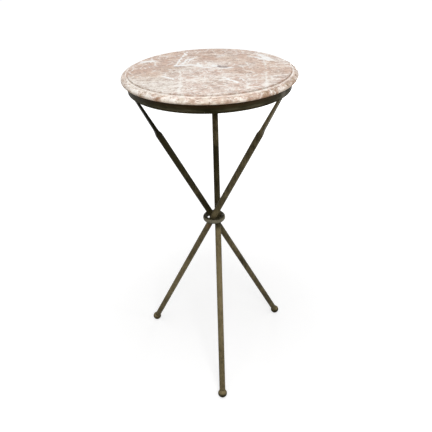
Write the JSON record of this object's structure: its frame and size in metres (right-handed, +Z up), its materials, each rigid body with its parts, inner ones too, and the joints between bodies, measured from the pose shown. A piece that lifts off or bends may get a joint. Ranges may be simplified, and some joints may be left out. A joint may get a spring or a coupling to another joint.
{
  "type": "pedestal table",
  "caption": "Round stone-topped pedestal table on crossed iron rods gathered in a forged waist ring, with ball feet; the loose top lifts off.",
  "frame": {"origin": "on the floor, on the axis of the round top", "axes": "+Z up along the axis of the top, -Y towards the front foot"},
  "size_m": [0.3408, 0.3651, 0.7],
  "materials": {
    "marble": "polished pink-beige marble with pale veins",
    "iron": "dark brown patinated wrought iron, lightly hammered and worn",
    "pad": "matt black"
  },
  "bodies": {
    "frame": {"top_ring": "iron", "bumper_pad_1": "pad", "bumper_pad_2": "pad", "bumper_pad_3": "pad", "bumper_pad_4": "pad", "bumper_pad_5": "pad", "bumper_pad_6": "pad", "leg_front": "iron", "leg_back_right": "iron", "leg_back_left": "iron", "rivet_front": "iron", "rivet_back_right": "iron", "rivet_back_left": "iron", "waist_ring": "iron", "ball_foot_front": "iron", "ball_foot_back_right": "iron", "ball_foot_back_left": "iron"},
    "top": {"marble_top": "marble"}
  },
  "joints": [
    {"name": "top_lift", "type": "slide", "parent": "frame", "child": "top", "axis": [0, 0, 1], "range_m": [0, 0.08]}
  ]
}
